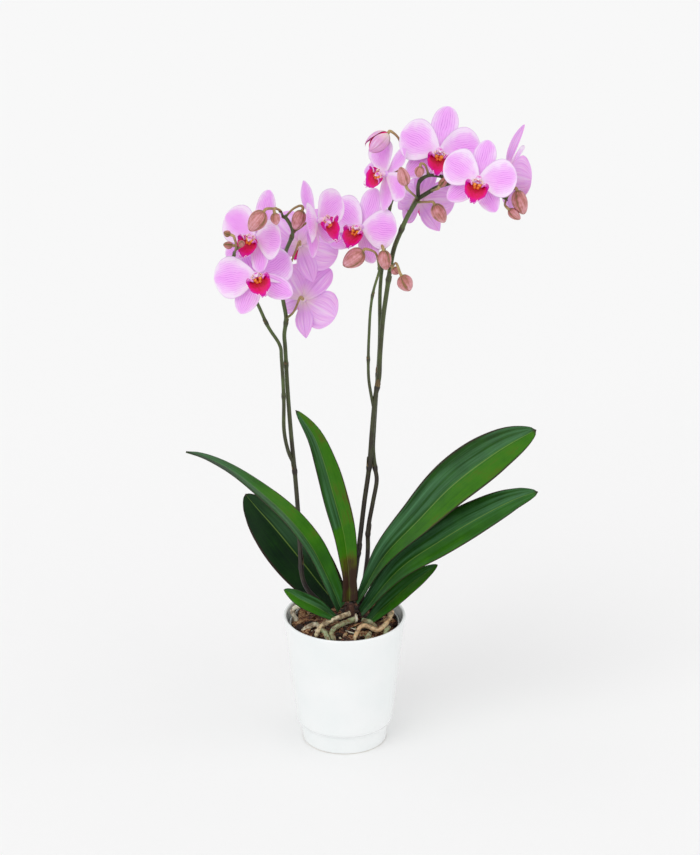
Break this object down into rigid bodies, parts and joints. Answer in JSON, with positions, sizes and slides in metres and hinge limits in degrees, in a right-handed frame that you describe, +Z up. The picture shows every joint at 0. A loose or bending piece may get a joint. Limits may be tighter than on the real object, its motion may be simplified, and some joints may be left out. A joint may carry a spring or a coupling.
{
  "type": "potted orchid",
  "caption": "Moth orchid in bloom with arching flower stems, strap leaves and aerial roots, growing in bark in a white glazed pot with a stepped foot.",
  "frame": {"origin": "centre of the pot's flat underside", "axes": "+Z up through the pot's axis; -Y is the side that the flowers face; +X is to the right of someone who looks at the flowers"},
  "size_m": [0.3803, 0.1467, 0.7317],
  "materials": {
    "glaze": "gloss",
    "liner_plastic": "satin",
    "bark": "rough",
    "crown": "matte",
    "leaf": "satin",
    "root": "matte",
    "stem": "satin",
    "petal": "soft",
    "lip": "satin",
    "bud": "soft"
  },
  "bodies": {
    "root": {"bark_mix": "bark", "bud_end_large": "bud", "bud_end_small": "bud", "bud_fork_hidden": "bud", "bud_fork_left": "bud", "bud_fork_right": "bud", "bud_fork_small": "bud", "bud_left_high": "bud", "bud_left_large": "bud", "bud_left_small": "bud", "bud_middle_large": "bud", "bud_middle_lower": "bud", "bud_middle_tiny": "bud", "bud_middle_upper": "bud", "bud_tip_high": "bud", "bud_tip_inner": "bud", "bud_tip_low": "bud", "crown": "crown", "flower_back_high_lip": "lip", "flower_back_high_tepals": "petal", "flower_back_low_lip": "lip", "flower_back_low_tepals": "petal", "flower_far_right_lip": "lip", "flower_far_right_tepals": "petal", "flower_front_right_lip": "lip", "flower_front_right_tepals": "petal", "flower_half_open": "bud", "flower_left_high_lip": "lip", "flower_left_high_tepals": "petal", "flower_left_low_lip": "lip", "flower_left_low_tepals": "petal", "flower_middle_lip": "lip", "flower_middle_tepals": "petal", "flower_profile_lip": "lip", "flower_profile_tepals": "petal", "flower_side_lip": "lip", "flower_side_tepals": "petal", "flower_top_lip": "lip", "flower_top_tepals": "petal", "flower_under_fork_lip": "lip", "flower_under_fork_tepals": "petal", "growers_pot": "liner_plastic", "leaf_left_long": "leaf", "leaf_left_small": "leaf", "leaf_left_wide": "leaf", "leaf_right_long": "leaf", "leaf_right_small": "leaf", "leaf_right_wide": "leaf", "leaf_upright": "leaf", "pot": "glaze", "root_cream": "root", "root_front_stub": "root", "root_grey_loop": "root", "root_left_stub": "root", "root_pale_green": "root", "root_tan_arch": "root", "stem_left": "stem", "stem_rear": "stem", "stem_right": "stem"}
  },
  "joints": []
}
